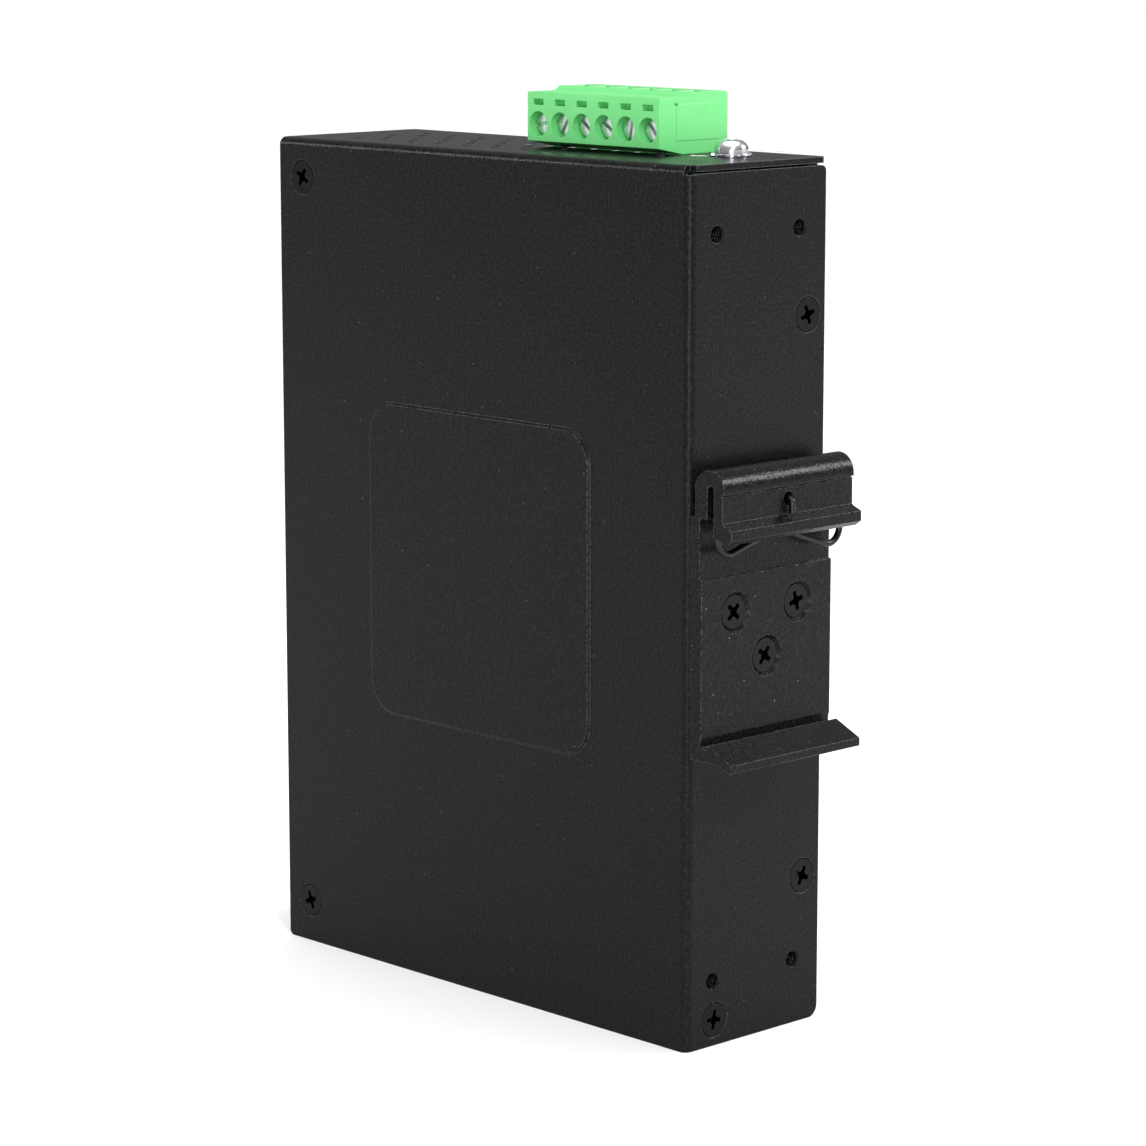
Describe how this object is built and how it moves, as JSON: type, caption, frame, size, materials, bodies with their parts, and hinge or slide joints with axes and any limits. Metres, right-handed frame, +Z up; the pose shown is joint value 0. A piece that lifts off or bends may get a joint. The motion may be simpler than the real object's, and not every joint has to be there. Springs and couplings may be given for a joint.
{
  "type": "poe switch",
  "caption": "Slim upright metal-cased network switch with powered ports, a rear rail clip, a pull-off screw terminal plug and a ground screw on top.",
  "frame": {"origin": "middle of the housing's footprint, on its underside", "axes": "+Z up, the ports face -Y, the rail clip is on +Y, the cover's side panel is on +X"},
  "size_m": [0.0314, 0.1087, 0.1519],
  "materials": {
    "powder_coat": "matt fine-texture powder coat",
    "black_clip": "black coated extrusion",
    "black_screw": "black oxide",
    "spring_wire": "dark phosphated wire",
    "zinc": "bright zinc plate",
    "green_plastic": "moulded",
    "nickel": "nickel plate",
    "tin": "tinned",
    "black_plastic": "moulded",
    "board_green": "solder resist",
    "gold": "gold flash",
    "clear_lens": "diffused lens",
    "chip_black": "moulded",
    "silver_fin": "anodised",
    "ferrite": "sintered",
    "blue_sleeve": "shrink sleeve",
    "blue_disc": "dipped",
    "yellow_tape": "tape",
    "grey_pad": "silicone"
  },
  "bodies": {
    "housing": {"cover": "powder_coat", "chassis": "powder_coat", "cover_side_screws": "black_screw", "cover_rear_screws": "black_screw", "din_clip": "black_clip", "din_spring": "spring_wire", "din_clip_screws": "black_screw", "din_clip_nuts": "zinc", "ground_screw": "zinc", "ground_washer": "zinc", "ground_nut": "zinc", "terminal_header": "green_plastic", "header_pins": "tin", "main_board": "board_green", "board_standoffs": "zinc", "board_screws": "zinc", "rj45_contacts": "gold", "port_lamps": "clear_lens", "status_lamps": "clear_lens", "lamp_holder": "black_plastic", "switch_chip": "chip_black", "thermal_pad": "grey_pad", "heat_sink": "silver_fin", "power_controller": "chip_black", "clock_crystal": "nickel", "rectifier": "chip_black", "fuse": "chip_black", "alarm_relay": "black_plastic", "power_inductor_1": "ferrite", "power_inductor_2": "ferrite", "input_capacitor_1": "blue_sleeve", "input_capacitor_2": "blue_sleeve", "input_capacitor_3": "blue_sleeve", "input_capacitor_4": "blue_sleeve", "transformer_core": "ferrite", "transformer_coil": "yellow_tape", "surge_arresters": "blue_disc", "rj45_body_1": "black_plastic", "rj45_shield_1": "nickel", "line_transformer_1": "chip_black", "rj45_body_2": "black_plastic", "rj45_shield_2": "nickel", "line_transformer_2": "chip_black", "rj45_body_3": "black_plastic", "rj45_shield_3": "nickel", "line_transformer_3": "chip_black", "rj45_body_4": "black_plastic", "rj45_shield_4": "nickel", "line_transformer_4": "chip_black", "rj45_body_5": "black_plastic", "rj45_shield_5": "nickel", "line_transformer_5": "chip_black"},
    "plug": {"terminal_plug": "green_plastic", "terminal_screws": "nickel", "terminal_cages": "nickel", "plug_contacts": "tin"}
  },
  "joints": [
    {"name": "plug_pull", "type": "slide", "parent": "housing", "child": "plug", "axis": [0, 0, 1], "range_m": [0, 0.01]}
  ]
}
